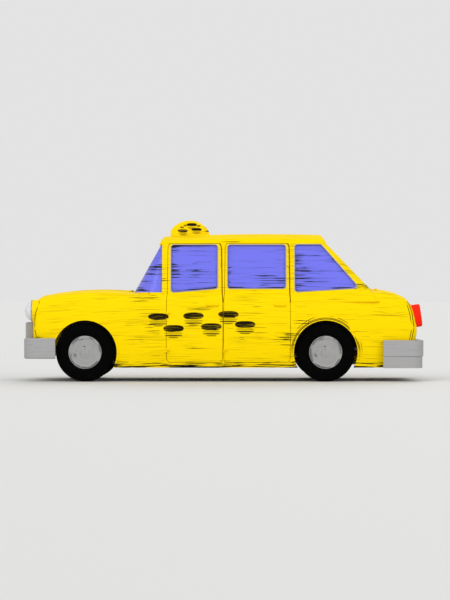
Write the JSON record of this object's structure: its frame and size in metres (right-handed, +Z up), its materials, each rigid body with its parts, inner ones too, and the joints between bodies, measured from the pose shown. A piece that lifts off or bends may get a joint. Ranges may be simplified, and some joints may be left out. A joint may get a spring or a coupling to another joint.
{
  "type": "taxi cab",
  "caption": "Four-door six-light taxi saloon with opening doors, bonnet and boot, steered beam axle, hollow cabin and a blank domed roof sign.",
  "frame": {"origin": "on the road under the middle of the car, halfway between its bumpers", "axes": "+Z up; -X forwards, towards the bonnet; -Y to the car's left, the side the reference drawing shows"},
  "size_m": [4.7, 1.786, 1.9129],
  "materials": {
    "paint": "gloss yellow paint with brushed streaks",
    "underseal": "satin black",
    "bumper": "grey with black brush lines",
    "bright": "polished",
    "grey_cover": "light grey",
    "glass": "lavender blue tinted",
    "lamp_glass": "frosted white",
    "red_lens": "gloss red",
    "sign": "gloss yellow with black ovals",
    "tyre": "black rubber",
    "engine": "cast",
    "steel": "plain steel",
    "seat": "black vinyl",
    "trim": "black"
  },
  "bodies": {
    "car": {"body_sides": "paint", "roof": "paint", "cowl": "paint", "front_wings": "paint", "nose_panel": "paint", "rear_panels": "paint", "fixed_windows": "glass", "grille": "bright", "headlamp_cases": "grey_cover", "headlamp_lenses": "lamp_glass", "tail_lamps": "red_lens", "roof_sign": "sign", "front_bumper": "bumper", "rear_bumper": "bumper", "chassis_rails": "underseal", "chassis_crossmembers": "underseal", "floor_pan": "underseal", "parcel_shelf": "trim", "engine": "engine", "radiator": "underseal", "front_axle": "underseal", "rear_axle": "underseal", "leaf_springs": "steel", "propeller_shaft": "steel", "exhaust": "steel", "fuel_tank": "underseal", "seats": "seat", "dashboard": "trim", "steering_column": "trim"},
    "bonnet": {"bonnet": "paint"},
    "boot_lid": {"boot_lid": "paint"},
    "knuckle_left": {"knuckle_left": "underseal"},
    "knuckle_right": {"knuckle_right": "underseal"},
    "tie_rod": {"tie_rod": "steel"},
    "steering_wheel": {"steering_wheel": "trim"},
    "front_left_door": {"front_left_door": "paint", "front_left_window": "glass"},
    "front_left_wheel": {"front_left_tyre": "tyre", "front_left_wheel": "grey_cover"},
    "front_right_door": {"front_right_door": "paint", "front_right_window": "glass"},
    "front_right_wheel": {"front_right_tyre": "tyre", "front_right_wheel": "grey_cover"},
    "rear_left_door": {"rear_left_door": "paint", "rear_left_window": "glass"},
    "rear_left_wheel": {"rear_left_tyre": "tyre", "rear_left_wheel": "grey_cover"},
    "rear_right_door": {"rear_right_door": "paint", "rear_right_window": "glass"},
    "rear_right_wheel": {"rear_right_tyre": "tyre", "rear_right_wheel": "grey_cover"}
  },
  "joints": [
    {"name": "front_left_door_hinge", "type": "hinge", "parent": "car", "child": "front_left_door", "pos_m": [-0.67, -0.88, 0.56], "axis": [0, 0, -1], "range_deg": [0, 65]},
    {"name": "front_right_door_hinge", "type": "hinge", "parent": "car", "child": "front_right_door", "pos_m": [-0.67, 0.88, 0.56], "axis": [0, 0, 1], "range_deg": [0, 65]},
    {"name": "rear_left_door_hinge", "type": "hinge", "parent": "car", "child": "rear_left_door", "pos_m": [0.002, -0.886, 0.56], "axis": [0, 0, -1], "range_deg": [0, 65]},
    {"name": "rear_right_door_hinge", "type": "hinge", "parent": "car", "child": "rear_right_door", "pos_m": [0.002, 0.886, 0.56], "axis": [0, 0, 1], "range_deg": [0, 65]},
    {"name": "bonnet_hinge", "type": "hinge", "parent": "car", "child": "bonnet", "pos_m": [-1.107, 0, 1.072], "axis": [0, 1, 0], "range_deg": [0, 55]},
    {"name": "boot_hinge", "type": "hinge", "parent": "car", "child": "boot_lid", "pos_m": [1.8, 0, 1.092], "axis": [0, -1, 0], "range_deg": [0, 70]},
    {"name": "steer_left", "type": "hinge", "parent": "car", "child": "knuckle_left", "pos_m": [-1.63, -0.59, 0.345], "axis": [0, 0, 1], "range_deg": [-30, 30]},
    {"name": "steer_right", "type": "hinge", "parent": "car", "child": "knuckle_right", "pos_m": [-1.63, 0.59, 0.345], "axis": [0, 0, 1], "range_deg": [-30, 30]},
    {"name": "tie_rod_pivot", "type": "hinge", "parent": "knuckle_left", "child": "tie_rod", "pos_m": [-1.46, -0.59, 0.244], "axis": [0, 0, 1], "range_deg": [-30, 30]},
    {"name": "steering_wheel_turn", "type": "hinge", "parent": "car", "child": "steering_wheel", "pos_m": [-0.53, -0.37, 0.95], "axis": [0.9225, 0, 0.3859], "range_deg": [-420, 420]},
    {"name": "front_left_wheel_spin", "type": "hinge", "parent": "knuckle_left", "child": "front_left_wheel", "pos_m": [-1.63, -0.712, 0.345], "axis": [0, 1, 0], "continuous": true},
    {"name": "front_right_wheel_spin", "type": "hinge", "parent": "knuckle_right", "child": "front_right_wheel", "pos_m": [-1.63, 0.712, 0.345], "axis": [0, 1, 0], "continuous": true},
    {"name": "rear_left_wheel_spin", "type": "hinge", "parent": "car", "child": "rear_left_wheel", "pos_m": [1.195, -0.712, 0.345], "axis": [0, 1, 0], "continuous": true},
    {"name": "rear_right_wheel_spin", "type": "hinge", "parent": "car", "child": "rear_right_wheel", "pos_m": [1.195, 0.712, 0.345], "axis": [0, 1, 0], "continuous": true}
  ],
  "couplings": [
    {"joint": "steer_right", "follows": "steer_left", "ratio": 1},
    {"joint": "tie_rod_pivot", "follows": "steer_left", "ratio": -1},
    {"joint": "steering_wheel_turn", "follows": "steer_left", "ratio": 14}
  ]
}
